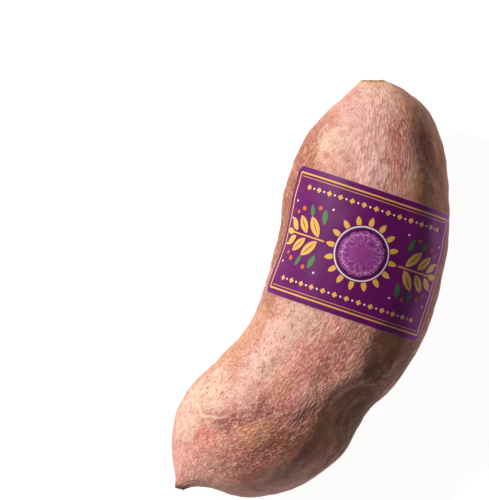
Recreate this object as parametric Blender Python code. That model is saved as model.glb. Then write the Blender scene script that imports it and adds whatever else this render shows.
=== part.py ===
# A whole purple sweet potato lying on its side, with the printed paper label that is stuck round its thick half.
# Frame: +X runs from the tail to the stem end, +Z is up, and the origin is under the middle of the bounding box,
# on the surface that the root rests on. The table below is in millimetres, and the meshes are in metres.

import math

import bpy
import numpy as np

MM = 0.001

# The sections of the root, from the tail to the stem end: the middle's x, y and z, half the width, half the height,
# and the way the section faces, in degrees from +X toward +Y.
STATIONS = (
    (-95.6, 24.6, 17.5, 1.9, 1.8, 14.0),
    (-92.2, 23.9, 18.0, 3.9, 3.7, 4.0),
    (-89.0, 22.2, 18.9, 8.0, 7.6, -4.0),
    (-84.0, 21.6, 20.6, 14.6, 13.6, -17.0),
    (-77.3, 19.6, 23.0, 22.0, 20.4, -25.0),
    (-68.2, 15.1, 25.5, 27.7, 25.7, -31.0),
    (-57.0, 7.5, 28.0, 31.1, 28.7, -31.0),
    (-45.0, 1.4, 29.4, 32.5, 29.8, -19.0),
    (-28.4, -1.8, 29.8, 30.8, 28.0, -10.0),
    (-15.1, -4.3, 30.9, 32.9, 30.2, -8.0),
    (-1.7, -5.5, 32.0, 34.7, 32.5, 1.0),
    (15.1, -3.7, 32.8, 35.3, 33.5, 10.0),
    (34.7, 1.2, 33.1, 35.5, 33.5, 17.0),
    (53.4, 7.9, 33.3, 33.6, 31.8, 18.0),
    (69.7, 12.7, 33.8, 29.2, 27.5, 19.0),
    (78.3, 15.9, 34.3, 25.0, 23.5, 23.5),
    (84.1, 18.4, 34.7, 20.1, 18.9, 26.5),
    (88.5, 20.7, 34.9, 14.1, 13.3, 28.5),
    (92.2, 22.6, 35.1, 8.2, 7.8, 28.5),
    (94.0, 25.3, 35.2, 4.5, 4.2, 24.0),
)

# Broad swells and hollows of the flesh: distance from the tail along the centre line, degrees round from the
# +Y side over the top, reach along, reach round, and height, which is negative for a hollow.
SWELLS = (
    (92.0, 130.0, 17.0, 16.0, 1.3),
    (67.0, 138.0, 13.0, 19.0, -1.9),
    (40.0, 118.0, 15.0, 14.0, 0.7),
    (150.0, 132.0, 26.0, 9.0, 0.7),
    (168.0, 66.0, 15.0, 13.0, -0.8),
    (34.0, 52.0, 9.0, 12.0, -0.7),
    (122.0, 222.0, 20.0, 13.0, -1.2),
    (78.0, 318.0, 16.0, 14.0, -1.4),
    (160.0, 300.0, 17.0, 15.0, 1.0),
    (52.0, 214.0, 14.0, 12.0, 0.9),
)

BELLY_FLATNESS = 0.055  # how far the lower corners of a section stand out past its ellipse
RINGS = 58
SEGMENTS = 64

# The label is a rounded rectangle, bent round the root over the top line and down both sides.
LABEL_MIDDLE = (26.2, -1.0)
LABEL_FACES = math.radians(7.0)
LABEL_WIDTH = 82.0
LABEL_HEIGHT = 54.5
LABEL_CORNER = 3.0
LABEL_THICKNESS = 0.4
LABEL_GAP = 0.3
LABEL_COLUMNS = 30
LABEL_STRAIGHT_ROWS = 14
LABEL_CORNER_ROWS = 3


def spline(knots, rows, at):
    """A natural cubic spline through the rows, read at the given places along the knots."""
    knots = np.asarray(knots, float)
    rows = np.asarray(rows, float)
    step = np.diff(knots)
    system = np.eye(len(knots))
    right = np.zeros_like(rows)
    slope = np.diff(rows, axis=0) / step[:, None]
    for i in range(1, len(knots) - 1):
        system[i, i - 1 : i + 2] = step[i - 1], 2 * (step[i - 1] + step[i]), step[i]
        right[i] = 6 * (slope[i] - slope[i - 1])
    bend = np.linalg.solve(system, right)
    at = np.asarray(at, float)
    k = np.clip(np.searchsorted(knots, at, side="right") - 1, 0, len(step) - 1)
    after = ((at - knots[k]) / step[k])[:, None]
    before = 1 - after
    curve = (before**3 - before) * bend[k] + (after**3 - after) * bend[k + 1]
    return before * rows[k] + after * rows[k + 1] + curve * (step[k] ** 2 / 6)[:, None]


class Root:
    """The outer surface of the root, read at a place along its profile and an angle round it."""

    def __init__(self):
        self.table = np.array(STATIONS)
        along = np.linalg.norm(np.diff(self.table[:, :2], axis=0), axis=1)
        outward = np.diff(self.table[:, 3])
        self.knots = np.r_[0, np.cumsum(np.hypot(along, outward))]
        self.length = self.knots[-1]
        self.fine = np.linspace(0, self.length, 600)
        line = spline(self.knots, self.table, self.fine)
        steps = np.linalg.norm(np.diff(line[:, :2], axis=0), axis=1)
        self.distance = np.r_[0, np.cumsum(steps)]

    def points(self, profile, angle):
        """Surface points in millimetres, for arrays of profile places and angles of one shape."""
        shape = np.shape(profile)
        profile, angle = np.ravel(profile), np.ravel(angle)
        x, y, z, half_width, half_height, faces = spline(self.knots, self.table, profile).T
        faces = np.radians(faces)
        far = np.interp(profile, self.fine, self.distance)

        low = (1 - np.sin(angle)) / 2
        grow = 1 + BELLY_FLATNESS * (1 - np.cos(4 * angle)) / 2 * low**2
        girth = (half_width + half_height) / 2
        swell = np.zeros_like(far)
        for where, turn, reach, spread, height in SWELLS:
            off = (angle - math.radians(turn) + math.pi) % (2 * math.pi) - math.pi
            swell += height * np.exp(-(((far - where) / reach) ** 2) - (off * girth / spread) ** 2)
        across = (half_width * grow + swell) * np.cos(angle)
        up = (half_height * grow + swell) * np.sin(angle)
        x = x - np.sin(faces) * across
        y = y + np.cos(faces) * across
        z = np.maximum(z + up, 0)  # the flesh is flat where it rests
        return np.stack([x, y, z], 1).reshape(*shape, 3)

    def normals(self, profile, angle):
        """Outward unit normals at the same places."""
        h, turn = 0.05, 0.002
        before, after = np.maximum(profile - h, 0), np.minimum(profile + h, self.length)
        along = self.points(after, angle) - self.points(before, angle)
        around = self.points(profile, angle + turn) - self.points(profile, angle - turn)
        normal = np.cross(around, along)
        return normal / np.linalg.norm(normal, axis=-1, keepdims=True)

    def upright_cut(self, middle, faces, ahead):
        """The upper part of the skin where an upright plane cuts it: the places, the angles and the points."""
        heading = np.array([math.cos(faces), math.sin(faces)])
        angle = np.radians(np.linspace(-30, 210, 241))
        profile = np.full_like(angle, self.length / 2)
        for _ in range(12):
            off = (self.points(profile, angle)[:, :2] - middle) @ heading
            profile = np.clip(profile + ahead - off, 0, self.length)
        return profile, angle, self.points(profile, angle)


def add_object(name, points, faces, colour, roughness):
    mesh = bpy.data.meshes.new(name)
    mesh.from_pydata((points * MM).tolist(), [], faces)
    mesh.validate()
    mesh.shade_smooth()
    mesh.set_sharp_from_angle(angle=math.radians(50))
    material = bpy.data.materials.new(name)
    material.use_nodes = True
    shader = material.node_tree.nodes["Principled BSDF"]
    shader.inputs["Base Color"].default_value = (*colour, 1.0)
    shader.inputs["Roughness"].default_value = roughness
    shader.inputs["Metallic"].default_value = 0.0
    mesh.materials.append(material)
    made = bpy.data.objects.new(name, mesh)
    bpy.context.scene.collection.objects.link(made)
    return made


def add_tuber(root):
    """The whole root in one skin: rings along the profile, closed by a fan on each cut end."""
    profile, angle = np.meshgrid(
        np.linspace(0, root.length, RINGS), np.arange(SEGMENTS) * 2 * math.pi / SEGMENTS, indexing="ij"
    )
    rings = root.points(profile, angle)
    tail, stem = rings[0].mean(0), rings[-1].mean(0)
    points = np.vstack([rings.reshape(-1, 3), tail, stem])
    tail_middle, stem_middle = len(points) - 2, len(points) - 1
    faces = []
    last = (RINGS - 1) * SEGMENTS
    for j in range(SEGMENTS):
        k = (j + 1) % SEGMENTS
        for i in range(0, last, SEGMENTS):
            faces.append((i + j, i + k, i + SEGMENTS + k, i + SEGMENTS + j))
        faces.append((tail_middle, k, j))
        faces.append((stem_middle, last + j, last + k))
    return add_object("tuber", points, faces, (0.56, 0.33, 0.25), 0.6)


def label_rows():
    """Heights of the label's rows of points, closer together where its corners are round."""
    half = LABEL_HEIGHT / 2
    turns = np.linspace(0, math.pi / 2, LABEL_CORNER_ROWS + 1)
    corner = half - LABEL_CORNER * (1 - np.sin(turns))
    straight = np.linspace(-half + LABEL_CORNER, half - LABEL_CORNER, LABEL_STRAIGHT_ROWS + 1)
    return np.r_[-corner[::-1], straight[1:-1], corner]


def label_grid():
    """The label laid flat: across and up in millimetres, each row as wide as the rounded outline there."""
    rows = label_rows()
    inset = np.maximum(np.abs(rows) - (LABEL_HEIGHT / 2 - LABEL_CORNER), 0)
    half_row = LABEL_WIDTH / 2 - LABEL_CORNER + np.sqrt(np.maximum(LABEL_CORNER**2 - inset**2, 0))
    across = np.linspace(-1, 1, LABEL_COLUMNS + 1)[None] * half_row[:, None]
    return across, rows


def label_places(root):
    """Where each point of the label lies on the root: every row keeps its length round the skin."""
    right = np.array([math.sin(LABEL_FACES), -math.cos(LABEL_FACES)])
    across, rows = label_grid()
    places, angles = np.empty_like(across), np.empty_like(across)
    for i, ahead in enumerate(rows):
        profile, angle, cut = root.upright_cut(LABEL_MIDDLE, LABEL_FACES, ahead)
        walked = np.r_[0, np.cumsum(np.linalg.norm(np.diff(cut, axis=0), axis=1))]
        top = np.abs(angle - math.pi / 2) < 1
        walked -= np.interp(0, (cut[top, :2] - LABEL_MIDDLE) @ right, walked[top])
        places[i] = np.interp(across[i], walked, profile)
        angles[i] = np.interp(across[i], walked, angle)
    return places, angles


def add_label(root):
    """A thin sheet bent round the root: an outer and an inner face, joined along the rim."""
    profile, angle = label_places(root)
    skin, out = root.points(profile, angle), root.normals(profile, angle)
    inner = skin + out * LABEL_GAP
    outer = inner + out * LABEL_THICKNESS
    rows, columns = profile.shape
    count = rows * columns
    points = np.vstack([outer.reshape(-1, 3), inner.reshape(-1, 3)])
    faces = []
    for i in range(rows - 1):
        for j in range(columns - 1):
            quad = (i * columns + j, (i + 1) * columns + j, (i + 1) * columns + j + 1, i * columns + j + 1)
            faces.append(quad[::-1])
            faces.append(tuple(count + corner for corner in quad))
    bottom = list(range(columns))
    right = [i * columns + columns - 1 for i in range(1, rows)]
    top = [(rows - 1) * columns + j for j in range(columns - 2, -1, -1)]
    left = [i * columns for i in range(rows - 2, 0, -1)]
    rim = bottom + right + top + left
    for a, b in zip(rim, rim[1:] + rim[:1]):
        faces.append((b, a, count + a, count + b))
    return add_object("label", points, faces, (0.12, 0.012, 0.10), 0.4)


def main():
    for old in list(bpy.data.objects):
        bpy.data.objects.remove(old)
    root = Root()
    add_tuber(root)
    add_label(root)


main()
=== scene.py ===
# A whole purple sweet potato and its printed paper label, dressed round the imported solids.
import math

import bpy
import numpy as np
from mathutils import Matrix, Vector


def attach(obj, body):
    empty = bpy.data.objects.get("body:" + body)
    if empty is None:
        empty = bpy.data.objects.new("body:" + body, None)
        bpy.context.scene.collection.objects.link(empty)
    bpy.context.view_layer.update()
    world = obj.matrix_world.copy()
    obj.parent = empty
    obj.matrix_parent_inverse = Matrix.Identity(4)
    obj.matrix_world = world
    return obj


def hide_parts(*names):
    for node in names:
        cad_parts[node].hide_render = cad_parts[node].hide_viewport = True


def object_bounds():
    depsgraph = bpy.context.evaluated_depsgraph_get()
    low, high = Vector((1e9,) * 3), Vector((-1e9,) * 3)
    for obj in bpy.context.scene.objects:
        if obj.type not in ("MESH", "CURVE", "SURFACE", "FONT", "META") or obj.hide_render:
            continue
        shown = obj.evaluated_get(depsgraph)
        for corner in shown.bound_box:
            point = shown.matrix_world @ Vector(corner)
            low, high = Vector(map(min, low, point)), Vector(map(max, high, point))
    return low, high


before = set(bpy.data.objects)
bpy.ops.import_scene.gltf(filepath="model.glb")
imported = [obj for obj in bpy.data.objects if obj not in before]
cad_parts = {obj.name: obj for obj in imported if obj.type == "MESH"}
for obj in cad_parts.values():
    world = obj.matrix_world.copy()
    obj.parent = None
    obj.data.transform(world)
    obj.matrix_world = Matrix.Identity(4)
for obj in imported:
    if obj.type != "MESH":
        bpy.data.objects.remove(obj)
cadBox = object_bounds()
scene = bpy.context.scene
mm = 0.001  # lengths below are in millimetres, and become metres in the meshes
print("frame loaded:", ", ".join(sorted(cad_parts)))


# Node maths

class Wire:  # a node's output socket, so that maths on it reads as plain Python
    def __init__(self, tree, socket=None):
        self.tree = tree
        self.socket = socket

    def node(self, kind, settings=None, sockets=None, out=0):
        made = self.tree.nodes.new(kind)
        for name, value in (settings or {}).items():
            if name == "stops":
                fillRamp(made.color_ramp, value)
            else:
                setattr(made, name, value)
        for name, value in (sockets or {}).items():
            if isinstance(value, Wire):
                self.tree.links.new(value.socket, made.inputs[name])
            else:
                made.inputs[name].default_value = value
        return Wire(self.tree, made.outputs[out])

    def maths(self, operation, *others):
        values = dict(enumerate((self, *others)))
        return self.node("ShaderNodeMath", {"operation": operation}, values)

    def vector(self, operation, *others, out=0):
        values = dict(enumerate((self, *others)))
        return self.node("ShaderNodeVectorMath", {"operation": operation}, values, out)

    def __add__(self, other):
        return self.maths("ADD", other)

    def __sub__(self, other):
        return self.maths("SUBTRACT", other)

    def __rsub__(self, other):
        return self.node("ShaderNodeMath", {"operation": "SUBTRACT"}, {0: other, 1: self})

    def __mul__(self, other):
        return self.maths("MULTIPLY", other)

    def __truediv__(self, other):
        return self.maths("DIVIDE", other)

    def __rtruediv__(self, other):
        return self.node("ShaderNodeMath", {"operation": "DIVIDE"}, {0: other, 1: self})

    __radd__ = __add__
    __rmul__ = __mul__

    def length(self):
        return self.vector("LENGTH", out=1)

    def gap(self, place):  # how far this value is from another, on either side
        return (self - place).maths("ABSOLUTE")

    def beside(self, other):  # a vector from this value and another
        return self.node("ShaderNodeCombineXYZ", {}, {0: self, 1: other})

    def ramp(self, low, high, start=0.0, end=1.0):  # an eased step
        ends = {"Value": self, "From Min": low, "From Max": high, "To Min": start, "To Max": end}
        return self.node("ShaderNodeMapRange", {"interpolation_type": "SMOOTHSTEP"}, ends)

    def stretched(self, x, y, z):
        return self.vector("MULTIPLY", (x, y, z))

    def scaled(self, amount):
        return self.node("ShaderNodeVectorMath", {"operation": "SCALE"}, {0: self, "Scale": amount})

    def noise(self, size, detail=2.0, rough=0.5, out=0):  # size is that of a blot
        sockets = {"Vector": self, "Scale": 1 / size, "Detail": detail, "Roughness": rough}
        return self.node("ShaderNodeTexNoise", {}, sockets, out)

    def swayed(self, size, amount, detail=2.0, rough=0.6, rest=0.0):  # moved about by a noise
        drift = self.noise(size, detail, rough, 1).vector("SUBTRACT", (rest,) * 3)
        return drift.vector("MULTIPLY_ADD", (amount,) * 3, self)

    def scattered(self, along, across):  # the nearest loose point's distance and random colour
        cells = self.stretched(1 / along, 1 / across, 1 / across)
        distance = self.node("ShaderNodeTexVoronoi", {}, {"Vector": cells, "Scale": 1.0})
        return distance, Wire(self.tree, distance.socket.node.outputs["Color"])

    def part(self, axis):
        return self.node("ShaderNodeSeparateXYZ", {}, {0: self}, axis)

    def toward(self, other, amount, blend="MIX"):  # this colour mixed with another
        second = other if isinstance(other, Wire) else (*other, 1.0)
        settings = {"data_type": "RGBA", "blend_type": blend}
        return self.node("ShaderNodeMix", settings, {0: amount, 6: self, 7: second}, 2)

    def tinted(self, other, amount):  # this colour multiplied by another
        return self.toward(other, amount, "MULTIPLY")


def fillRamp(colorRamp, stops):
    while len(colorRamp.elements) < len(stops):
        colorRamp.elements.new(1.0)
    for element, (place, tone) in zip(colorRamp.elements, stops):
        element.position = place
        element.color = (*tone, 1.0)


def ink(red, green, blue):  # from a screen's 0 to 255 to the renderer's linear shares
    shares = [value / 255 for value in (red, green, blue)]
    return tuple(s / 12.92 if s <= 0.04045 else ((s + 0.055) / 1.055) ** 2.4 for s in shares)


def newMaterial(name):
    material = bpy.data.materials.new(name)
    material.use_nodes = True
    tree = material.node_tree
    shader = tree.nodes["Principled BSDF"]
    return material, Wire(tree), shader


def plug(wire, shader, name):
    wire.tree.links.new(wire.socket, shader.inputs[name])


def setSockets(shader, values):
    for name, value in values.items():
        shader.inputs[name].default_value = value


def plainInk(wire, colour):  # a colour that others are laid on
    made = wire.node("ShaderNodeRGB")
    made.socket.default_value = (*colour, 1.0)
    return made


# Geometry Nodes helpers

socketKinds = {int: "NodeSocketInt", float: "NodeSocketFloat", bpy.types.Object: "NodeSocketObject"}


def newTree(name, values):
    tree = bpy.data.node_groups.new(name, "GeometryNodeTree")
    tree.interface.new_socket("Geometry", in_out="INPUT", socket_type="NodeSocketGeometry")
    tree.interface.new_socket("Geometry", in_out="OUTPUT", socket_type="NodeSocketGeometry")
    for label, value in values.items():
        tree.interface.new_socket(label, in_out="INPUT", socket_type=socketKinds[type(value)])
    start = tree.nodes.new("NodeGroupInput")
    return tree, {socket.name: Wire(tree, socket) for socket in start.outputs if socket.name}


def endTree(geometry, material):
    real = geometry.node("GeometryNodeRealizeInstances", {}, {"Geometry": geometry})
    dressed = real.node("GeometryNodeSetMaterial", {}, {"Geometry": real, "Material": material})
    end = geometry.tree.nodes.new("NodeGroupOutput")
    geometry.tree.links.new(dressed.socket, end.inputs["Geometry"])


def attributeOf(mesh, name, kind="FLOAT_VECTOR"):
    return mesh.node("GeometryNodeInputNamedAttribute", {"data_type": kind}, {"Name": name})


def meshOf(thing):  # the mesh of an object that comes in by a named input
    return thing.node("GeometryNodeObjectInfo", {}, {"Object": thing}, "Geometry")


def runTree(piece, tree, values):  # swaps the piece's mesh for what the tree makes of it
    modifier = piece.modifiers.new(tree.name, "NODES")
    modifier.node_group = tree
    for item in tree.interface.items_tree:
        if item.in_out == "INPUT" and item.name in values:
            modifier[item.identifier] = values[item.name]
    settle(piece)


def settle(piece):  # live modifiers become a plain mesh
    graph = bpy.context.evaluated_depsgraph_get()
    made = bpy.data.meshes.new_from_object(
        piece.evaluated_get(graph), preserve_all_data_layers=True, depsgraph=graph
    )
    piece.modifiers.clear()
    old = piece.data
    piece.data = made
    made.name = piece.name
    bpy.data.meshes.remove(old)
    made.shade_smooth()


def newPiece(name, points, faces):
    mesh = bpy.data.meshes.new(name)
    mesh.from_pydata((np.asarray(points) * mm).tolist(), [], faces)
    piece = bpy.data.objects.new(name, mesh)
    scene.collection.objects.link(piece)
    return piece


def gridFaces(rows, columns, closed=False):  # four-sided, between rows of points
    faces = []
    for i in range(rows - 1):
        low, high = i * columns, (i + 1) * columns
        for j in range(columns if closed else columns - 1):
            k = (j + 1) % columns
            faces.append((low + j, low + k, high + k, high + j))
    return faces


def markVertices(piece, name, values):  # a number or a vector for each vertex
    values = np.asarray(values, np.float32)
    kind, field = ("FLOAT", "value") if values.ndim == 1 else ("FLOAT_VECTOR", "vector")
    piece.data.attributes.new(name, kind, "POINT").data.foreach_set(field, values.ravel())


# The form of the root, as the solids have it

rootForm = {
    "stations": (  # x, y, z, half the width, half the height, degrees it faces from +X toward +Y
        (-95.6, 24.6, 17.5, 1.9, 1.8, 14),
        (-92.2, 23.9, 18, 3.9, 3.7, 4),
        (-89, 22.2, 18.9, 8, 7.6, -4),
        (-84, 21.6, 20.6, 14.6, 13.6, -17),
        (-77.3, 19.6, 23, 22, 20.4, -25),
        (-68.2, 15.1, 25.5, 27.7, 25.7, -31),
        (-57, 7.5, 28, 31.1, 28.7, -31),
        (-45, 1.4, 29.4, 32.5, 29.8, -19),
        (-28.4, -1.8, 29.8, 30.8, 28, -10),
        (-15.1, -4.3, 30.9, 32.9, 30.2, -8),
        (-1.7, -5.5, 32, 34.7, 32.5, 1),
        (15.1, -3.7, 32.8, 35.3, 33.5, 10),
        (34.7, 1.2, 33.1, 35.5, 33.5, 17),
        (53.4, 7.9, 33.3, 33.6, 31.8, 18),
        (69.7, 12.7, 33.8, 29.2, 27.5, 19),
        (78.3, 15.9, 34.3, 25, 23.5, 23.5),
        (84.1, 18.4, 34.7, 20.1, 18.9, 26.5),
        (88.5, 20.7, 34.9, 14.1, 13.3, 28.5),
        (92.2, 22.6, 35.1, 8.2, 7.8, 28.5),
        (94, 25.3, 35.2, 4.5, 4.2, 24),
    ),
    "swells": (  # distance from the tail, degrees from +Y over the top, reach along and round, height
        (92, 130, 17, 16, 1.3),
        (67, 138, 13, 19, -1.9),
        (40, 118, 15, 14, 0.7),
        (150, 132, 26, 9, 0.7),
        (168, 66, 15, 13, -0.8),
        (34, 52, 9, 12, -0.7),
        (122, 222, 20, 13, -1.2),
        (78, 318, 16, 14, -1.4),
        (160, 300, 17, 15, 1),
        (52, 214, 14, 12, 0.9),
    ),
    "bellyFlatness": 0.055,
}

formReading = {  # how finely the form is read
    "profilePlaces": 600,
    "profileStep": 0.05,
    "angleStep": 0.002,
    "cutAngles": (-30, 210, 241),  # degrees: from, to, how many
    "cutRounds": 12,
    "planPlaces": 400,
    "planAngles": (0, 181, 1.5),  # degrees: from, to, step
}


def spline(knots, rows, at):  # a natural cubic spline through the rows
    step = np.diff(knots)
    system = np.eye(len(knots))
    right = np.zeros_like(rows)
    slope = np.diff(rows, axis=0) / step[:, None]
    for i in range(1, len(knots) - 1):
        system[i, i - 1 : i + 2] = step[i - 1], 2 * (step[i - 1] + step[i]), step[i]
        right[i] = 6 * (slope[i] - slope[i - 1])
    bend = np.linalg.solve(system, right)
    k = np.clip(np.searchsorted(knots, at, side="right") - 1, 0, len(step) - 1)
    after = ((at - knots[k]) / step[k])[:, None]
    before = 1 - after
    curve = (before**3 - before) * bend[k] + (after**3 - after) * bend[k + 1]
    return before * rows[k] + after * rows[k + 1] + curve * (step[k] ** 2 / 6)[:, None]


class RootForm:  # the skin, read at a place along the profile and an angle round it
    def __init__(self, form):
        self.form = form
        self.table = np.array(form["stations"])
        along = np.linalg.norm(np.diff(self.table[:, :2], axis=0), axis=1)
        self.knots = np.r_[0, np.cumsum(np.hypot(along, np.diff(self.table[:, 3])))]
        self.length = self.knots[-1]
        self.fine = np.linspace(0, self.length, formReading["profilePlaces"])
        line = spline(self.knots, self.table, self.fine)
        self.distance = np.r_[0, np.cumsum(np.linalg.norm(np.diff(line[:, :2], axis=0), axis=1))]

    def sections(self, profile):
        return spline(self.knots, self.table, np.ravel(profile))

    def girth(self, profile):
        return self.sections(profile)[:, 3:5].mean(1).reshape(np.shape(profile))

    def points(self, profile, angle):
        shape = np.shape(profile)
        x, y, z, halfWidth, halfHeight, faces = self.sections(profile).T
        profile, angle, faces = np.ravel(profile), np.ravel(angle), np.radians(faces)
        far = np.interp(profile, self.fine, self.distance)
        low = (1 - np.sin(angle)) / 2
        grow = 1 + self.form["bellyFlatness"] * (1 - np.cos(4 * angle)) / 2 * low**2
        girth = (halfWidth + halfHeight) / 2
        swell = np.zeros_like(far)
        for where, turn, reach, spread, height in self.form["swells"]:
            off = (angle - math.radians(turn) + math.pi) % (2 * math.pi) - math.pi
            swell += height * np.exp(-(((far - where) / reach) ** 2) - (off * girth / spread) ** 2)
        across = (halfWidth * grow + swell) * np.cos(angle)
        up = (halfHeight * grow + swell) * np.sin(angle)
        x = x - np.sin(faces) * across
        y = y + np.cos(faces) * across
        return np.stack([x, y, np.maximum(z + up, 0)], 1).reshape(*shape, 3)

    def normals(self, profile, angle):
        step, turn = formReading["profileStep"], formReading["angleStep"]
        along = self.points(np.minimum(profile + step, self.length), angle)
        along -= self.points(np.maximum(profile - step, 0), angle)
        around = self.points(profile, angle + turn) - self.points(profile, angle - turn)
        normal = np.cross(around, along)
        return normal / np.linalg.norm(normal, axis=-1, keepdims=True)

    def uprightCut(self, middle, faces, ahead):  # where an upright plane cuts the upper skin
        heading = np.array([math.cos(faces), math.sin(faces)])
        angle = np.radians(np.linspace(*formReading["cutAngles"]))
        profile = np.full_like(angle, self.length / 2)
        for _ in range(formReading["cutRounds"]):
            off = (self.points(profile, angle)[:, :2] - middle) @ heading
            profile = np.clip(profile + ahead - off, 0, self.length)
        return profile, angle, self.points(profile, angle)

    def upperSkin(self):
        places = np.linspace(0, self.length, formReading["planPlaces"])
        angles = np.radians(np.arange(*formReading["planAngles"]))
        return self.points(*np.meshgrid(places, angles)).reshape(-1, 3)


form = RootForm(rootForm)
upperSkin = form.upperSkin()


def topOf(x, y):  # the point of the upper skin over a place in plan
    return upperSkin[np.argmin(np.hypot(upperSkin[:, 0] - x, upperSkin[:, 1] - y))]


# The printed paper label: first a flat sheet laid on the smooth form

labelCut = {
    "middle": (26.2, -1),
    "faces": math.radians(7),
    "width": 82,
    "height": 54.5,
    "corner": 3,
    "columns": 150,
    "straightRows": 84,
    "cornerRows": 7,
    "paper": 0.13,
    "nearTop": 1,  # radians either side of the top
}


def laySheet(cut):
    half = cut["height"] / 2
    turns = np.linspace(0, math.pi / 2, cut["cornerRows"] + 1)
    cornerRow = half - cut["corner"] * (1 - np.sin(turns))
    straight = np.linspace(-half + cut["corner"], half - cut["corner"], cut["straightRows"] + 1)
    rows = np.r_[-cornerRow[::-1], straight[1:-1], cornerRow]
    inset = np.maximum(np.abs(rows) - (half - cut["corner"]), 0)
    halfRow = cut["width"] / 2 - cut["corner"] + np.sqrt(np.maximum(cut["corner"] ** 2 - inset**2, 0))
    across = np.linspace(-1, 1, cut["columns"] + 1)[None] * halfRow[:, None]
    right = np.array([math.sin(cut["faces"]), -math.cos(cut["faces"])])
    profile, angle = np.empty_like(across), np.empty_like(across)
    for i, ahead in enumerate(rows):
        places, angles, line = form.uprightCut(cut["middle"], cut["faces"], ahead)
        walked = np.r_[0, np.cumsum(np.linalg.norm(np.diff(line, axis=0), axis=1))]
        top = np.abs(angles - math.pi / 2) < cut["nearTop"]
        walked -= np.interp(0, (line[top, :2] - cut["middle"]) @ right, walked[top])
        profile[i] = np.interp(across[i], walked, places)
        angle[i] = np.interp(across[i], walked, angles)
    printed = np.stack([across, np.repeat(rows[:, None], across.shape[1], 1), np.zeros_like(across)], -1)
    return form.points(profile, angle), form.normals(profile, angle), printed


sheetPoints, sheetNormals, sheetPrint = laySheet(labelCut)
sheetRows, sheetColumns = sheetPoints.shape[:2]
paperLabel = newPiece("paperLabel", sheetPoints.reshape(-1, 3), gridFaces(sheetRows, sheetColumns))
markVertices(paperLabel, "printed", sheetPrint.reshape(-1, 3))
markVertices(paperLabel, "outward", sheetNormals.reshape(-1, 3))
print("label sheet laid:", sheetRows, "by", sheetColumns)


# Skin

skinMesh = {  # capRings: the size and the rise of each ring of the torn faces
    "rings": 264,
    "segments": 356,
    "topShare": 0.35,  # how much closer together the points lie along the top
    "capRings": ((0.97, 0.05), (0.86, 0), (0.7, -0.15), (0.5, -0.3), (0.28, -0.38), (0.1, -0.4)),
    "tailPull": 0.35,  # at the broken ends, room for their fibres inside the solids' box
    "stemPull": 0.45,
    "scarRings": 2,
    "stickRadius": 18,  # the straightened skin's radius, and its share of the girth
    "stickShare": 0.35,
    "stickRun": 4,  # how far it runs on over a torn face
}

skinNet = {  # the fine raised net of the skin, its meshes drawn out along the root
    "width": 0.72,
    "length": 1.55,
    "wander": 1.5,
    "wanderSize": 4,
}

crownNet = {  # coarser toward the stem
    "width": 0.82,
    "length": 3.3,
    "wander": 1.3,
    "wanderSize": 5,
    "along": (75, 50),  # back from the stem's end, where it starts and is full
    "across": (14, 4),
    "share": 0.8,
}

netThreads = {
    "cells": 0.8,
    "edgeStep": (0, 0.3),
    "streaks": (1, 2, 0.5),
    "streakStep": (0.36, 0.64),
    "streakShare": 0.7,
    "litSide": (4, 14),
    "shadeSide": (-18, -12),
}

skinDents = {  # name: x, y from above, reach along and across, degrees turned, depth, softness
    "hollow under the shoulder": (-30, -25, 14, 9, 151, 1.6, 0.6),
    "shoulder": (-21, -19, 18, 9, 149, -1.2, 0.9),
    "hollow by the label": (-6, -27, 16, 8, 178, 0.9, 0.7),
    "flat beside the crown": (81, -8, 21, 9, 35, 1.4, 0.5),
    "right of the saddle": (62, -12, 14, 8, 20, -0.3, 0.9),
    "dip on the waist": (-32, 10, 12, 5, -30, 0.5, 0.9),
    "dip by the tail": (-66, 20, 9, 4, 140, 0.5, 0.9),
    "dip on the saddle": (60, 17, 10, 5, 60, 0.45, 0.9),
    "low flank": (-46, -31, 18, 7, -5, -0.8, 0.9),
    "flat under the low bulb": (-63, -6, 14, 7, -35, 0.4, 0.9),
    "ridge above the low bulb": (-42, -4, 11, 7, -35, -0.8, 0.9),
    "low bulb's top": (-63, -1, 12, 9, -30, 0.7, 0.9),
    "left of the label": (22, 33, 20, 9, 14, 1.4, 0.9),
    "left of the stub": (87, 31, 9, 7, 30, -0.8, 0.9),
}

skinRelief = {
    "Net Depth": 0.2,
    "Lump Depth": 0.45,
    "Lump Size": 16.0,
    "Pebble Depth": 0.25,
    "Pebble Size": 5.0,
    "Fullness": 0.4,
    "Scar Depth": 0.5,
    "Smooth Tail": 17.0,
    "Paper": paperLabel,
}

reliefShape = {  # noises: size, detail, roughness; steps: from and to, and the values there
    "paperStep": (0.05, 1.6, 0.22, 1),  # the net is pressed flat under the label
    "uneven": (26, 1),
    "unevenStep": (0.35, 0.65, 0.55, 1.15),
    "tailStart": 0.35,
    "tailNet": 0.1,
    "netSide": (0.4, 0.15),
    "lumpDetail": (1, 0.4),
    "lumpStep": (0.3, 0.68),
    "pebbleDetail": 1,
    "pebbleStep": (0.3, 0.7),
    "torn": (0.9, 3, 0.6),
    "tornLevel": 0.75,
}

crescentFold = {  # a small curved fold on the tail's shoulder, as seen from above
    "middle": (-50.2, 31.3, 0),
    "radius": 7.1,
    "bend": 6,
    "bendNoise": (1, 0.5),  # detail, roughness
    "bendSize": 7,
    "faces": math.radians(185),
    "opening": (0.5, 0.85),  # how squarely a place must lie that way
    "heights": (22, 32),
    "grooveHalf": 1,
    "lipOut": 1.5,
    "lipHalf": 1.3,
    "depth": 0.6,
    "lip": 0.35,
    # painted shade in the fold's groove and a painted highlight on its lip
    "shade": (0.55, 0.36, 0.3),
    "shadeStrength": 0.45,
    "light": ink(250, 216, 190),
    "lightStrength": 0.35,
}

spotDepth = 2.0  # how much deeper than across a spot reaches


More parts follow.
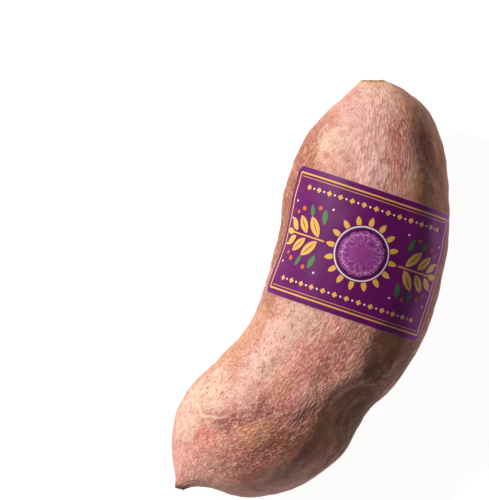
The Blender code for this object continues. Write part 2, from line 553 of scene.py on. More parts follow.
def crescent(place, fold):  # 1 along its groove, and 1 along the lip outside it
    bent = place.swayed(fold["bendSize"], fold["bend"], *fold["bendNoise"])
    away = bent.vector("SUBTRACT", fold["middle"]).stretched(1, 1, 0)
    radius = away.length() - fold["radius"]
    heading = (math.cos(fold["faces"]), math.sin(fold["faces"]), 0)
    facing = away.vector("NORMALIZE").vector("DOT_PRODUCT", heading, out=1)
    shown = facing.ramp(*fold["opening"]) * place.part(2).ramp(*fold["heights"])
    groove = radius.gap(0).ramp(fold["grooveHalf"], 0.0)
    lip = radius.gap(fold["lipOut"]).ramp(fold["lipHalf"], 0.0)
    return groove * shown, lip * shown


def insideBox(geometry):  # nothing may stand out of the solids' own box
    place = geometry.node("GeometryNodeInputPosition")
    held = place.vector("MINIMUM", tuple(cadBox[1])).vector("MAXIMUM", tuple(cadBox[0]))
    return geometry.node("GeometryNodeSetPosition", {}, {"Geometry": geometry, "Position": held})


def farFrom(place, x, y, along, across, turn):  # 0 in the middle of a spot on the skin, 1 at its rim
    middle = tuple(topOf(x, y))
    back = {"Vector": place, "Center": middle, "Angle": -math.radians(turn)}
    turned = place.node("ShaderNodeVectorRotate", {"rotation_type": "Z_AXIS"}, back)
    off = turned.vector("SUBTRACT", middle)
    return off.stretched(1 / along, 1 / across, 1 / (across * spotDepth)).length()


def straightened(profile, angle, values):  # the skin as if it were that of a straight stick
    radius = values["stickRadius"] + values["stickShare"] * form.girth(profile)
    return np.stack([profile, radius * np.cos(angle), radius * np.sin(angle)], -1)


def tornFace(rim, lines, sign, values):  # the rings of a torn end and their straightened lines
    middle = rim.mean(0)
    facing = np.cross(rim[0] - middle, rim[len(rim) // 4] - middle) * sign
    facing /= np.linalg.norm(facing)
    shares, rises = np.array(values["capRings"]).T[..., None, None]
    run = (1 - shares) * [sign * values["stickRun"], 0, 0]
    return middle + (rim - middle) * shares + facing * rises, lines + run


def skinBase(values):  # points, faces, straightened lines and torn marks
    rings, segments = values["rings"], values["segments"]
    turns = np.arange(segments) * 2 * math.pi / segments
    turns = turns + values["topShare"] * np.cos(turns)
    places = np.linspace(values["tailPull"], form.length - values["stemPull"], rings)
    profile, angle = np.meshgrid(places, turns, indexing="ij")
    body, lines = form.points(profile, angle), straightened(profile, angle, values)
    tailFace, tailLines = tornFace(body[0], lines[0], -1, values)
    stemFace, stemLines = tornFace(body[-1], lines[-1], 1, values)
    points = np.concatenate([tailFace[::-1], body, stemFace])
    lines = np.concatenate([tailLines[::-1], lines, stemLines])
    fromEnd = np.minimum(np.arange(rings), np.arange(rings)[::-1])
    torn = np.clip(1 - fromEnd / values["scarRings"], 0, 1)
    torn = np.repeat(np.pad(torn, len(tailFace), constant_values=1), segments)
    faces = gridFaces(len(points), segments, closed=True)
    count = len(torn)
    last = count - segments
    for j in range(segments):
        k = (j + 1) % segments
        faces.append((count, k, j))
        faces.append((count + 1, last + j, last + k))
    points = np.vstack([points.reshape(-1, 3), points[0].mean(0), points[-1].mean(0)])
    lines = np.vstack([lines.reshape(-1, 3), lines[0].mean(0), lines[-1].mean(0)])
    return points, faces, lines, np.r_[torn, 1, 1]


def netSide(at, lit, shade):  # the net shows most along the top, and fades down both sides
    side = at.part(1)
    return side.ramp(*netThreads["litSide"], 1.0, lit) * side.ramp(*netThreads["shadeSide"], shade, 1.0)


def netHeight(at, net):  # 1 on the raised threads, 0 in the meshes between them
    moved = at.swayed(net["wanderSize"], net["wander"])
    cells = moved.stretched(1 / net["length"], 1 / net["width"], 1 / net["width"])
    sockets = {"Vector": cells, "Scale": netThreads["cells"]}
    edge = cells.node("ShaderNodeTexVoronoi", {"feature": "DISTANCE_TO_EDGE"}, sockets)
    streak = cells.noise(*netThreads["streaks"]).ramp(*netThreads["streakStep"])
    share = netThreads["streakShare"]
    return streak * share + edge.ramp(*netThreads["edgeStep"]) * (1 - share)


def wholeNet(at):
    fine, coarse = netHeight(at, skinNet), netHeight(at, crownNet)
    start, full = (form.length - back for back in crownNet["along"])
    crown = at.part(0).ramp(start, full) * at.part(1).ramp(*crownNet["across"])
    return fine + (coarse - fine) * crown * crownNet["share"]


def reliefTree(values, shape, material):
    tree, given = newTree("skinRelief", values)
    mesh = given["Geometry"]
    at, scar = attributeOf(mesh, "straight"), attributeOf(mesh, "scar", "FLOAT")
    place = mesh.node("GeometryNodeInputPosition").scaled(1 / mm)
    sheet = {0: meshOf(given["Paper"])}
    near = mesh.node("GeometryNodeProximity", {"target_element": "FACES"}, sheet, "Distance") / mm
    bare = near.ramp(*shape["paperStep"])
    uneven = place.noise(*shape["uneven"]).ramp(*shape["unevenStep"])
    tail = given["Smooth Tail"]
    grown = at.part(0).ramp(tail * shape["tailStart"], tail, shape["tailNet"], 1.0)
    grown = grown * netSide(at, *shape["netSide"])
    net = (wholeNet(at) - 1) * given["Net Depth"] * uneven * grown * bare
    lump = place.noise(given["Lump Size"], *shape["lumpDetail"]).ramp(*shape["lumpStep"])
    pebble = at.noise(given["Pebble Size"], shape["pebbleDetail"]).ramp(*shape["pebbleStep"])
    lumps = (lump - 1) * given["Lump Depth"] + (pebble - 1) * given["Pebble Depth"] * bare
    lumps = lumps + given["Fullness"]
    for *spot, depth, softness in skinDents.values():
        lumps = lumps - farFrom(place, *spot).ramp(1.0, 1.0 - softness) * depth
    groove, lip = crescent(place, crescentFold)
    lumps = lumps + lip * crescentFold["lip"] - groove * crescentFold["depth"]
    torn = (place.noise(*shape["torn"]) - shape["tornLevel"]) * given["Scar Depth"] * scar
    lift = (net + lumps * (1 - scar) + torn) * mm
    normal = mesh.node("GeometryNodeInputNormal")
    moved = mesh.node("GeometryNodeSetPosition", {}, {"Geometry": mesh, "Offset": normal.scaled(lift)})
    endTree(insideBox(moved), material)
    return tree


skinLook = {
    "base": ink(206, 146, 130),
    # underside: the skin darker below its widest line, painted shade that carries on from the shaded
    # flank's patches
    "underside": ink(162, 111, 88),
    "undersideStep": (2, -13, 0, 0.85),
    "warp": 13,  # how far the patches' rims wander
    "warpSize": 9,
    "netSide": (0.5, 0.12),
    "mottle": (3.4, 3, 0.65),
    "mottleDark": ink(176, 106, 98),
    "mottleDarkStep": (0.5, 0.72, 0, 0.36),
    "mottlePale": ink(244, 206, 180),
    "mottlePaleStep": (0.5, 0.3, 0, 0.3),
    "calmStep": (-18, -12, 0.35, 1),
    "speck": (0.8, 3, 0.75),
    "speckStep": (0.3, 0.7, 0.8, 1.17),
    "furrow": (0.62, 0.46, 0.4),  # what the net's meshes multiply the colour by: painted shade in the hollows
    "furrowStrength": 0.6,
    # thread: a painted highlight on the net's raised threads
    "thread": ink(252, 218, 194),
    "threadStep": (0.4, 1, 0, 0.28),
    "darkest": 0.9,  # the lightness down the sides, and what the top adds
    "topLight": 0.3,
    "grainStretch": 0.28,
    "grain": (0.55, 2, 0.6),
    "grainTint": (0.72, 0.62, 0.58),
    "grainStep": (0.52, 0.75, 0, 0.5),
    "pit": (0.5, 0.34, 0.3),
    "pitStrength": 0.65,
    "pitRagged": 0.25,
    "pore": ink(236, 196, 170),
    "poreStrength": 0.6,
    "dash": (0.52, 0.32, 0.24),
    "dashStrength": 0.8,
    "dashSide": (8, 15),
    "dashCrown": (150, 130, 0.4, 1),  # fewer toward the stem
    "wood": ((0.3, ink(58, 36, 26)), (0.5, ink(150, 104, 70)), (0.7, ink(226, 184, 138))),
    "woodGrain": (1.1, 3, 0.7),
    "tailWood": (0.5, 0.32, 0.28),
    "tailReach": (60, 50),
    "neck": ink(224, 174, 120),
    "neckReach": (6.5, 3),  # back from the stem's end
    "neckNoise": (1.6, 2),
    "neckStep": (0.35, 0.6, 0.25, 1),
    "neckStrength": 0.6,
    "tip": ink(140, 76, 64),
    "tipStep": (4, 0.5, 0, 0.8),
    "roughStep": (0, 1, 0.75, 0.6),
    "fine": (0.45, 3, 0.65),
    "netBump": 0.13,
    "grainBump": 0.05,
    "fineBump": 0.05,
    "pitBump": 0.25,
    "dashBump": 0.1,
    "bump": 0.8,
    "specular": 0.16,
}

skinMarks = {  # name: spacing along and across, reach, which random colour chooses it, from where
    "pit": ((12, 6), (0.1, 0.04), 0, (0.7, 0.75)),
    "pore": ((8, 8), (0.08, 0.04), 0, (0.6, 0.65)),
    "dash": ((3.2, 1.1), (0.34, 0.15), 1, (0.2, 0.25)),
}

skinInks = {
    "pink": (228, 178, 170),
    "dustyPink": (218, 167, 159),
    "salmon": (240, 170, 158),
    "cream": (229, 188, 165),
    "tan": (200, 146, 113),
    "ochre": (205, 140, 105),
    "rose": (212, 131, 118),
    "clay": (182, 123, 103),
    # umber and darkBrown are laid only where the skin lies in shade, and carry painted shade as well as
    # the skin's colour
    "umber": (130, 88, 63),
    "mauve": (176, 100, 94),
    "brown": (174, 104, 80),
    "darkBrown": (144, 79, 57),
    "terracotta": (154, 91, 62),
    "darkMauve": (150, 84, 80),
    "lowTan": (185, 121, 99),
    "roseBrown": (190, 118, 102),
    "shell": (229, 183, 165),
}

patchEdge = {
    "ragged": 2.4,
    "raggedNoise": (4, 3, 0.65),
    "rim": 1.35,
    "full": 0.45,
}

# Patches of the skin's colour; some also carry painted shade and painted light, as marked below
skinPatches = {  # name: x, y from above, reach along and across, degrees turned, ink, strength
    # painted shade: the brown right side and the dark brown right of the crown darken the shaded flank,
    # part skin colour and part shade
    "right side": (40, -26, 75, 16, 8, "brown", 0.85),
    "saddle's right": (60, -13, 13, 8, 20, "ochre", 0.8),
    "right of the crown": (80, -5, 18, 7, 38, "darkBrown", 0.95),
    "beside the stub": (89, 5, 12, 6, 45, "ochre", 0.7),
    "right rim of the crown": (77, -16, 19, 5, 39, "ochre", 0.7),
    "left edge": (26, 34, 28, 12, 14, "terracotta", 1),
    "left edge above": (57, 38, 15, 7, -4, "terracotta", 0.9),
    "left of the saddle": (60, 35, 11, 5, -5, "terracotta", 0.95),
    "left under the label": (-9, 26, 13, 6, -10, "terracotta", 0.7),
    "left of the crown": (66, 37, 11, 6, -8, "clay", 0.65),
    "crown": (77, 22, 15, 12, 20, "dustyPink", 0.9),
    "shoulder": (63, 28, 9, 7, 10, "cream", 0.8),
    "saddle": (60, 12, 10, 7, 15, "pink", 1),
    "saddle shade": (61, 22, 6, 4, 0, "clay", 0.25),
    "crown streak": (77, 6, 12, 4, 20, "mauve", 0.55),
    "saddle streak": (68, 1, 9, 5, 15, "rose", 0.55),
    # painted light: a cream patch lightening the skin where the crown's shade begins
    "light by the saddle": (65, -6, 8, 4, 20, "cream", 0.5),
    "collar": (90, 22, 5, 9, 25, "cream", 0.7),
    "waist light": (-24, 16, 20, 7, -12, "shell", 0.9),
    "waist pale": (-36, 17, 8, 5, -12, "shell", 1),
    "waist edge": (-28, 29, 22, 8, -14, "tan", 1),
    "waist rose": (-25, 0, 12, 7, 0, "rose", 0.7),
    "waist shade": (-14, -9, 14, 8, 0, "rose", 0.85),
    "waist mauve": (-17, -9, 13, 6, 0, "mauve", 0.65),
    # painted shade: dark brown and umber under the shoulder's ledge
    "waist shade right": (-28, -25, 14, 7, -25, "darkBrown", 0.55),
    "under the shoulder": (-21, -24, 17, 4, -36, "umber", 0.75),
    "below the label": (-8, 11, 9, 9, 0, "cream", 0.6),
    # painted light: salmon patches along the lit edge of the shoulder and by the label
    "shoulder rose": (-25, -17, 12, 4, 149, "salmon", 0.5),
    "shoulder light": (-13, -14, 6, 3, 150, "salmon", 0.5),
    "light by the label": (-4, -5, 4, 5, 0, "salmon", 0.45),
    "under the label's right": (-2, -26, 8, 5, 170, "ochre", 0.6),
    # painted shade: umber along the shaded right limb
    "right limb": (-5, -37, 14, 4, 0, "umber", 0.7),
    "saddle ochre": (-39, 5, 6, 5, 0, "ochre", 0.6),
    "bulb red": (-52, -2, 18, 12, -30, "rose", 0.45),
    "tail shoulder": (-53, 30, 12, 8, -30, "cream", 0.85),
    "tail side": (-71, 32, 9, 8, -30, "cream", 0.9),
    "tail mauve": (-58, 16, 9, 6, -40, "darkMauve", 0.95),
    "tail brown": (-51, 9, 8, 6, -40, "darkMauve", 0.9),
    "tail pale": (-50, 17, 6, 4, -35, "shell", 0.5),
    # painted light: a salmon patch on the lit face of the ridge above the low bulb
    "ridge light": (-37, -6, 11, 5, -25, "salmon", 0.95),
    "tail ridge": (-47, 0, 6, 4, -20, "mauve", 0.7),
    "tail ochre": (-63, 7, 11, 6, -38, "ochre", 0.9),
    "tail rose": (-71, 25, 6, 6, -30, "rose", 0.95),
    # the dark band and the brown below it: skin colour and painted shade on the low bulb's shaded side
    "tail dark band": (-66, 0, 14, 9, -38, "darkMauve", 0.75),
    "bulb brown": (-61, -5, 13, 8, -35, "terracotta", 0.7),
    "bulb ochre": (-60, 6, 6, 4, -35, "ochre", 0.75),
    "tail limb": (-60, 36, 17, 5, -28, "cream", 0.85),
    "cone": (-85, 28, 12, 9, -10, "salmon", 0.9),
    "beside the cone": (-68, 14, 7, 5, -30, "clay", 0.6),
    "under the cone": (-74, 4, 12, 9, -50, "roseBrown", 0.85),
    # painted shade along the low bulb's edge of shade
    "shade under the cone": (-71, 1, 15, 4, -37, "mauve", 0.6),
    "low side": (-52, -20, 30, 9, -25, "lowTan", 0.9),
    "low ridge": (-42, -17, 10, 5, -20, "ochre", 0.9),
    "low end": (-69, -15, 16, 6, -50, "pink", 0.4),
    # painted shade: umber along the shaded lower rim
    "low rim": (-36, -30, 32, 7, -3, "umber", 0.85),
}


def patched(colour, place, patches):
    ragged = (place.noise(*patchEdge["raggedNoise"]) - 0.5) * patchEdge["ragged"]
    for *spot, inkName, strength in patches.values():
        far = farFrom(place, *spot) + ragged
        shown = far.ramp(patchEdge["rim"], patchEdge["full"], 0.0, strength)
        colour = colour.toward(ink(*skinInks[inkName]), shown)
    return colour


def marked(place, name, ragged=0.0):  # 1 in the middle of the chosen marks
    spacing, reach, draw, chosen = skinMarks[name]
    distance, chance = place.scattered(*spacing)
    return (distance + ragged).ramp(*reach) * chance.part(draw).ramp(*chosen)


def makeSkinMaterial(look):
    material, wire, shader = newMaterial("sweetPotatoSkin")
    place = wire.node("ShaderNodeTexCoord", out=3).scaled(1 / mm)
    at = wire.node("ShaderNodeAttribute", {"attribute_name": "straight"}, out=1)
    scar = wire.node("ShaderNodeAttribute", {"attribute_name": "scar"}, out=2)
    along, across = at.part(0), at.part(1)
    warped = place.swayed(look["warpSize"], look["warp"], rest=0.5)
    mottle = place.noise(*look["mottle"])
    calm = across.ramp(*look["calmStep"])
    net, side = wholeNet(at), netSide(at, *look["netSide"])
    groove, lip = crescent(place, crescentFold)
    grain = at.stretched(look["grainStretch"], 1, 1).noise(*look["grain"])
    pit = marked(at, "pit", (mottle - 0.5) * look["pitRagged"])
    dash = marked(at, "dash") * (across.ramp(*look["dashSide"]) * along.ramp(*look["dashCrown"]))
    start, full = (form.length - back for back in look["neckReach"])
    neck = along.ramp(start, full) * place.noise(*look["neckNoise"]).ramp(*look["neckStep"])
    wood = wire.node("ShaderNodeValToRGB", {"stops": look["wood"]}, {0: place.noise(*look["woodGrain"])})
    wood = wood.tinted(look["tailWood"], along.ramp(*look["tailReach"]))
    colour = (
        patched(plainInk(wire, look["base"]), warped, skinPatches)
        # painted shade: darker below the widest line
        .toward(look["underside"], at.part(2).ramp(*look["undersideStep"]))
        .toward(look["mottleDark"], mottle.ramp(*look["mottleDarkStep"]) * calm)
        .toward(look["mottlePale"], mottle.ramp(*look["mottlePaleStep"]) * calm)
        .scaled(place.noise(*look["speck"]).ramp(*look["speckStep"]))
        # painted shade in the net's hollows and a painted highlight on its threads, strongest where the
        # net shows
        .tinted(look["furrow"], (1 - net) * side * look["furrowStrength"])
        .toward(look["thread"], net.ramp(*look["threadStep"]) * side)
        .scaled(side * look["topLight"] + look["darkest"])
        # painted shade in the fold's groove, painted highlight on its lip
        .tinted(crescentFold["shade"], groove * crescentFold["shadeStrength"])
        .toward(crescentFold["light"], lip * crescentFold["lightStrength"])
        .tinted(look["grainTint"], grain.ramp(*look["grainStep"]))
        .tinted(look["pit"], pit * look["pitStrength"])
        .toward(look["pore"], marked(place, "pore") * look["poreStrength"])
        .tinted(look["dash"], dash * look["dashStrength"])
        .toward(look["neck"], neck * look["neckStrength"])
        .toward(look["tip"], along.ramp(*look["tipStep"]))
        .toward(wood, scar)
    )
    plug(colour, shader, "Base Color")
    plug(net.ramp(*look["roughStep"]), shader, "Roughness")
    fine = place.noise(*look["fine"])
    height = net * side * look["netBump"] + grain * look["grainBump"] + fine * look["fineBump"]
    height = height - pit * look["pitBump"] - dash * look["dashBump"]
    bump = {"Strength": look["bump"], "Distance": mm, "Height": height}
    plug(wire.node("ShaderNodeBump", {}, bump), shader, "Normal")
    setSockets(shader, {"Specular IOR Level": look["specular"]})
    return material


points, faces, lines, torn = skinBase(skinMesh)
rootSkin = newPiece("rootSkin", points, faces)
markVertices(rootSkin, "straight", lines)
markVertices(rootSkin, "scar", torn)
runTree(rootSkin, reliefTree(skinRelief, reliefShape, makeSkinMaterial(skinLook)), skinRelief)
print("skin:", len(rootSkin.data.polygons), "faces")


# Short fibres that stand out of the two broken ends

brokenFibres = {
    "Skin": rootSkin,
    "Crowding": 2.2,  # how many on each square millimetre
    "Least Scar": 0.6,
    "Length": 0.9,
    "Least Size": 0.35,
    "Thickness": 0.16,
    "Tip": 0.02,
    "Sides": 5,
    "Steps": 2,
    "Lean": 0.45,
    "Seed": 4,
}

fibreLook = {
    "stops": ((0.3, ink(84, 54, 36)), (0.5, ink(184, 134, 88)), (0.7, ink(236, 196, 140))),
    "grain": (1.3, 2, 0.6),
    "tail": (0.42, 0.26, 0.24),
    "tailStep": (0, -10),
    "rough": 0.85,
    "specular": 0.2,
}


def fibreTree(values, material):
    tree, given = newTree("brokenFibres", values)
    mesh, seed, lean = given["Geometry"], given["Seed"], given["Lean"]
    skin, scar = meshOf(given["Skin"]), attributeOf(mesh, "scar", "FLOAT")
    isMore = {"data_type": "FLOAT", "operation": "GREATER_THAN"}
    ends = scar.node("FunctionNodeCompare", isMore, {"A": scar, "B": given["Least Scar"]})
    crowding = given["Crowding"] * 1e6  # on a square metre
    sown = {"Mesh": skin, "Selection": ends, "Density": crowding, "Seed": seed}
    points = mesh.node("GeometryNodeDistributePointsOnFaces", {}, sown)
    upright = Wire(tree, points.socket.node.outputs["Rotation"])
    shape = {
        "Vertices": given["Sides"],
        "Side Segments": given["Steps"],
        "Radius Top": given["Tip"] * mm,
        "Radius Bottom": given["Thickness"] * mm,
        "Depth": given["Length"] * mm,
    }
    fibre = mesh.node("GeometryNodeMeshCone", {}, shape)
    sizes = {2: given["Least Size"], 3: 1.0, "Seed": seed}
    size = mesh.node("FunctionNodeRandomValue", {"data_type": "FLOAT"}, sizes, 1)
    grown = {"Points": points, "Instance": fibre, "Rotation": upright, "Scale": size}
    standing = mesh.node("GeometryNodeInstanceOnPoints", {}, grown)
    bend = {0: (lean * -1).beside(lean * -1), 1: lean.beside(lean), "Seed": seed}
    turn = mesh.node("FunctionNodeRandomValue", {"data_type": "FLOAT_VECTOR"}, bend)
    leaning = mesh.node("GeometryNodeRotateInstances", {}, {"Instances": standing, "Rotation": turn})
    real = mesh.node("GeometryNodeRealizeInstances", {}, {"Geometry": leaning})
    endTree(insideBox(real), material)
    return tree


def makeFibreMaterial(look):
    material, wire, shader = newMaterial("dryFibre")
    place = wire.node("ShaderNodeTexCoord", out=3).scaled(1 / mm)
    grain = place.noise(*look["grain"])
    tone = wire.node("ShaderNodeValToRGB", {"stops": look["stops"]}, {0: grain})
    tone = tone.tinted(look["tail"], place.part(0).ramp(*look["tailStep"]))
    plug(tone, shader, "Base Color")
    setSockets(shader, {"Roughness": look["rough"], "Specular IOR Level": look["specular"]})
    return material


fibres = newPiece("brokenFibres", [(0, 0, 0), (1, 0, 0), (0, 1, 0)], [(0, 1, 2)])
runTree(fibres, fibreTree(brokenFibres, makeFibreMaterial(fibreLook)), brokenFibres)
print("fibres:", len(fibres.data.polygons), "faces")


# The label, wrapped on the finished skin and printed with a plain ornament

labelWrap = {
    "Skin": rootSkin,
    "Reach": 4.0,
    "Lift": 0.12,
    "Smoothing": 6,
}


def wrapTree(values, material):
    tree, given = newTree("labelWrap", values)
    mesh, reach = given["Geometry"], given["Reach"]
    outward = attributeOf(mesh, "outward")
    place = mesh.node("GeometryNodeInputPosition")
    rays = {
        "Target Geometry": meshOf(given["Skin"]),
        "Source Position": place.vector("ADD", outward.scaled(reach * mm)),
        "Ray Direction": outward.scaled(-1),
        "Ray Length": reach * (2 * mm),
    }
    depth = mesh.node("GeometryNodeRaycast", {}, rays, "Hit Distance")
    rounds = {0: depth, "Iterations": given["Smoothing"]}
    depth = mesh.node("GeometryNodeBlurAttribute", {"data_type": "FLOAT"}, rounds)
    lift = (reach + given["Lift"]) * mm - depth
    moved = mesh.node("GeometryNodeSetPosition", {}, {"Geometry": mesh, "Offset": outward.scaled(lift)})
    endTree(moved, material)
    return tree


labelLook = {
    "ground": ink(104, 20, 94),
    "groundDeep": ink(92, 16, 84),
    "groundNoise": (9, 1),
    "groundStep": (0.4, 0.7, 0, 0.5),
    # a painted light: the ground and the ochre lighten toward the label's shaded right side
    "groundPaintedLight": ink(158, 40, 144),
    "paintedLightStep": (6, 36),
    "ochre": ink(236, 176, 78),
    "ochrePaintedLight": ink(255, 206, 112),
    "white": ink(236, 228, 226),
    "green": ink(74, 128, 72),
    "orange": ink(206, 104, 46),
    "slice": ink(152, 62, 138),
    "sliceDark": ink(66, 20, 62),
    "slicePale": ink(206, 150, 196),
    "lineStrength": 0.8,
    "cutEdgeStrength": 0.5,
    "soft": 0.1,  # half the width of a printed shape's edge
    "grain": (0.5, 2),
    "roughStep": (0.3, 0.7, 0.45, 0.57),
    "bump": 0.25,
    "bumpDepth": 0.05,
    "specular": 0.15,
}

labelPrint = {  # on the flat sheet, from its middle; the sprays repeat in each quarter
    "cutEdge": (0, 0.1),  # each line's place and half its width
    "frame": (-2.7, 0.32),
    "rule": (23.15, 0.14),
    "ruleEnd": 36.9,
    "rowAt": 19.4,
    "rowTop": 21.5,
    "rowEnd": 32.9,
    "rowStep": 2.6,
    "lozenge": 1.25,
    "dot": 0.42,
    "stem": (16.5, 33, 0.28),
    "leaves": (  # x, y, degrees turned, length, width
        (22.6, 4.6, 52, 9.5, 4),
        (28.4, 4.3, 50, 8.4, 3.6),
        (33.4, 3.4, 44, 6.6, 3),
        (35.6, 0, 0, 5.6, 2.6),
    ),
    "veins": ((22.6, 4.6, 52, 7.6, 0.42), (28.4, 4.3, 50, 6.6, 0.4)),
    "smallLeaves": ((19.4, 9.6, 78, 6.4, 2.4), (26, 10.6, 70, 5.2, 2)),
    "berries": ((30.6, 10.6, 1.05), (33.4, 8.6, 0.8), (22.6, 12.6, 0.9)),  # x, y, radius
    "specks": ((36.6, 5.4, 0.45), (35.6, 12.8, 0.45), (16.8, 13.6, 0.45)),
    "petals": 16,
    "petal": (13.2, 0, 0, 4.8, 2.2),
    "plate": 11.9,  # the slice's radii, from the outside inward
    "rim": (11.2, 0.28),
    "peel": 10.2,
    "flesh": 9.5,
    "streaked": 9.2,
    "ring": (8, 0.16),
    "rippleNoise": (3.2, 2),
    "ripple": 2.2,
    "rayTurns": 5,
    "rayLength": 0.22,
    "rayNoise": (0.5, 2),
    "paleStep": (0.5, 0.7, 0, 0.8),
    "paleFrom": (2, 7),
    "darkStep": (0.46, 0.3, 0, 0.75),
}


def discAt(at, x, y, radius):
    return at.vector("DISTANCE", (x, y, 0), out=1) - radius


def leafAt(at, x, y, turn, length, width):  # a leaf with two pointed ends, from two crossing circles
    a, b = length / 2, width / 2
    shift, reach = (a * a - b * b) / (2 * b), (a * a + b * b) / (2 * b)
    frameOf = {"Vector": at, "Location": (x, y, 0), "Rotation": (0, 0, math.radians(turn))}
    local = at.node("ShaderNodeMapping", {"vector_type": "TEXTURE"}, frameOf)
    return local.vector("ABSOLUTE").vector("ADD", (0, shift, 0)).length() - reach


def boxAt(at, halfWide, halfHigh, corner):
    past = at.vector("ABSOLUTE").vector("SUBTRACT", (halfWide - corner, halfHigh - corner, 0))
    deep = past.part(0).maths("MAXIMUM", past.part(1))
    return past.vector("MAXIMUM", (0, 0, 0)).length() + deep.maths("MINIMUM", 0) - corner


def inked(distance):  # 1 inside a printed shape, 0 outside it
    return distance.ramp(labelLook["soft"], -labelLook["soft"])


def lined(value, place, half):  # 1 on a printed line
    return inked(value.gap(place) - half)


def joined(*distances):
    one = distances[0]
    for other in distances[1:]:
        one = one.maths("MINIMUM", other)
    return one


def labelFrame(colour, gold, at, edge, place):  # frame, rules and rows of lozenges and dots
    x, y = at.part(0), at.part(1)
    rule = lined(y, *place["rule"]) * inked(x - place["ruleEnd"])
    beat = x.maths("PINGPONG", place["rowStep"])
    lozenge = beat + y.gap(place["rowAt"]) - place["lozenge"]
    dot = discAt(beat.beside(y - place["rowAt"]), place["rowStep"], 0, place["dot"])
    inRow = inked(x - place["rowEnd"]) * inked(y - place["rowTop"])
    return (
        colour.toward(gold, lined(edge, *place["frame"]))
        .toward(gold, rule * labelLook["lineStrength"])
        .toward(gold, inked(lozenge) * inRow)
        .toward(labelLook["white"], inked(dot) * inRow)
    )


def labelSprays(colour, gold, at, place):  # stems with leaves and berries
    x, y = at.part(0), at.part(1)
    start, end, half = place["stem"]
    colour = colour.toward(gold, inked(y - half) * (inked(start - x) * inked(x - end)))
    for shape, rows, tone in (
        (leafAt, place["leaves"], gold),
        (leafAt, place["veins"], labelLook["ground"]),
        (leafAt, place["smallLeaves"], labelLook["green"]),
        (discAt, place["berries"], labelLook["orange"]),
        (discAt, place["specks"], labelLook["white"]),
    ):
        colour = colour.toward(tone, inked(joined(*(shape(at, *row) for row in rows))))
    return colour


def labelSlice(colour, gold, at, place):  # a slice of the root, in a ring of petals
    look = labelLook
    radius = at.length()
    turn = at.part(1).maths("ARCTAN2", at.part(0))
    step = 2 * math.pi / place["petals"]
    within = turn.maths("WRAP", -step / 2, step / 2)
    petal = (radius * within.maths("COSINE")).beside(radius * within.maths("SINE"))
    wavy = radius + (at.noise(*place["rippleNoise"]) - 0.5) * place["ripple"]
    streak = (turn * place["rayTurns"]).beside(radius * place["rayLength"]).noise(*place["rayNoise"])
    pale = streak.ramp(*place["paleStep"]) * radius.ramp(*place["paleFrom"])
    inside = inked(wavy - place["streaked"])
    return (
        colour.toward(gold, inked(leafAt(petal, *place["petal"])))
        .toward(look["ground"], inked(radius - place["plate"]))
        .toward(look["white"], lined(radius, *place["rim"]))
        .toward(look["sliceDark"], inked(wavy - place["peel"]))
        .toward(look["slice"], inked(wavy - place["flesh"]))
        .toward(look["slicePale"], pale * inside)
        .toward(look["sliceDark"], streak.ramp(*place["darkStep"]) * inside)
        .toward(look["slicePale"], lined(wavy, *place["ring"]) * look["lineStrength"])
    )


def makeLabelMaterial(look, place):
    material, wire, shader = newMaterial("printedPaper")
    at = wire.node("ShaderNodeAttribute", {"attribute_name": "printed"}, out=1)
    quarter = at.vector("ABSOLUTE")
    # painted light: the print lightens toward the shaded right
    right = at.part(0).ramp(*look["paintedLightStep"])
    deep = at.noise(*look["groundNoise"]).ramp(*look["groundStep"])
    colour = plainInk(wire, look["ground"]).toward(look["groundDeep"], deep)
    colour = colour.toward(look["groundPaintedLight"], right)
    gold = plainInk(wire, look["ochre"]).toward(look["ochrePaintedLight"], right)
    edge = boxAt(at, labelCut["width"] / 2, labelCut["height"] / 2, labelCut["corner"])
    colour = labelFrame(colour, gold, quarter, edge, place)
    colour = labelSprays(colour, gold, quarter, place)
    colour = labelSlice(colour, gold, at, place)
    colour = colour.toward(look["white"], lined(edge, *place["cutEdge"]) * look["cutEdgeStrength"])
    plug(colour, shader, "Base Color")
    grain = at.noise(*look["grain"])
    plug(grain.ramp(*look["roughStep"]), shader, "Roughness")
    bump = {"Strength": look["bump"], "Distance": look["bumpDepth"] * mm, "Height": grain}
    plug(wire.node("ShaderNodeBump", {}, bump), shader, "Normal")
    setSockets(shader, {"Specular IOR Level": look["specular"]})
    return material


runTree(paperLabel, wrapTree(labelWrap, makeLabelMaterial(labelLook, labelPrint)), labelWrap)
solid = paperLabel.modifiers.new("paper", "SOLIDIFY")
solid.thickness = labelCut["paper"] * mm
solid.offset = 1
settle(paperLabel)
print("label:", len(paperLabel.data.polygons), "faces")

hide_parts("tuber")
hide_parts("label")
for piece, slot in ((rootSkin, "skin"), (fibres, "skin"), (paperLabel, "label_paper")):
    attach(piece, "root")


# Floor, light and camera

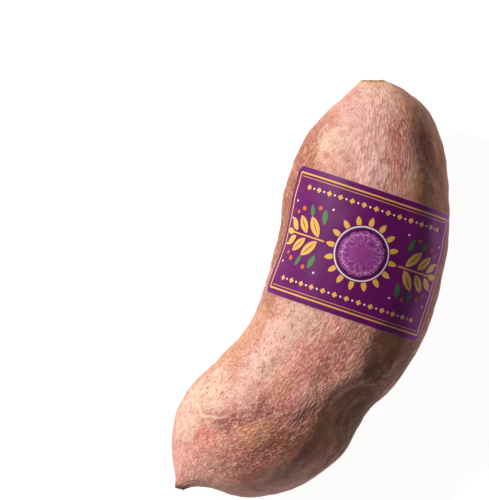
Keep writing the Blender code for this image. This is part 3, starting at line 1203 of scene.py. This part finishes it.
studio = {
    "floorHalf": 3,
    "floorDrop": 0.0002,
    "floorInk": (0.3, 0.3, 0.3, 1),
    "floorRough": 0.9,
    "floorGlow": 0.95,
    "white": (1, 1, 1, 1),
    "lampFrom": (0.1, 1, 0.76),
    "lampAt": (0, 0, 0.03),
    "lampDistance": 1.3,
    "lampSize": 0.2,
    "lampPower": 19.8,
    "worldLight": 0.03,
    "lens": 400,
    "sensor": 36,
    "cameraPlace": (0.00697, 0.04307, 0.033 + 0.7824 * 400 / 135),
    "cameraTurn": math.radians(-64.5),
}


def makeFloor(values):
    half, low = values["floorHalf"], -values["floorDrop"]
    corners = [(-half, -half, low), (half, -half, low), (half, half, low), (-half, half, low)]
    mesh = bpy.data.meshes.new("floor")
    mesh.from_pydata(corners, [], [(0, 1, 2, 3)])
    material, wire, shader = newMaterial("paleTable")
    setSockets(shader, {"Base Color": values["floorInk"], "Roughness": values["floorRough"]})
    setSockets(shader, {"Emission Color": values["white"], "Emission Strength": values["floorGlow"]})
    mesh.materials.append(material)
    made = bpy.data.objects.new("floor", mesh)
    scene.collection.objects.link(made)
    return made


def makeLight(values):
    data = bpy.data.lights.new("key", "AREA")
    data.shape = "DISK"
    data.size = values["lampSize"]
    data.energy = values["lampPower"]
    lamp = bpy.data.objects.new("key", data)
    direction = Vector(values["lampFrom"]).normalized()
    lamp.location = direction * values["lampDistance"] + Vector(values["lampAt"])
    lamp.rotation_mode = "QUATERNION"
    lamp.rotation_quaternion = direction.to_track_quat("Z", "Y")
    scene.collection.objects.link(lamp)
    world = bpy.data.worlds.new("studio")
    world.use_nodes = True
    background = world.node_tree.nodes["Background"]
    setSockets(background, {"Color": values["white"], "Strength": values["worldLight"]})
    scene.world = world


def makeCamera(values):
    data = bpy.data.cameras.new("camera")
    data.lens = values["lens"]
    data.sensor_width = values["sensor"]
    made = bpy.data.objects.new("camera", data)
    made.location = values["cameraPlace"]
    made.rotation_euler = (0, 0, values["cameraTurn"])
    scene.collection.objects.link(made)
    return made


makeFloor(studio)
makeLight(studio)
scene.camera = makeCamera(studio)
scene.view_settings.view_transform = "Standard"
print("floor, light and camera placed")
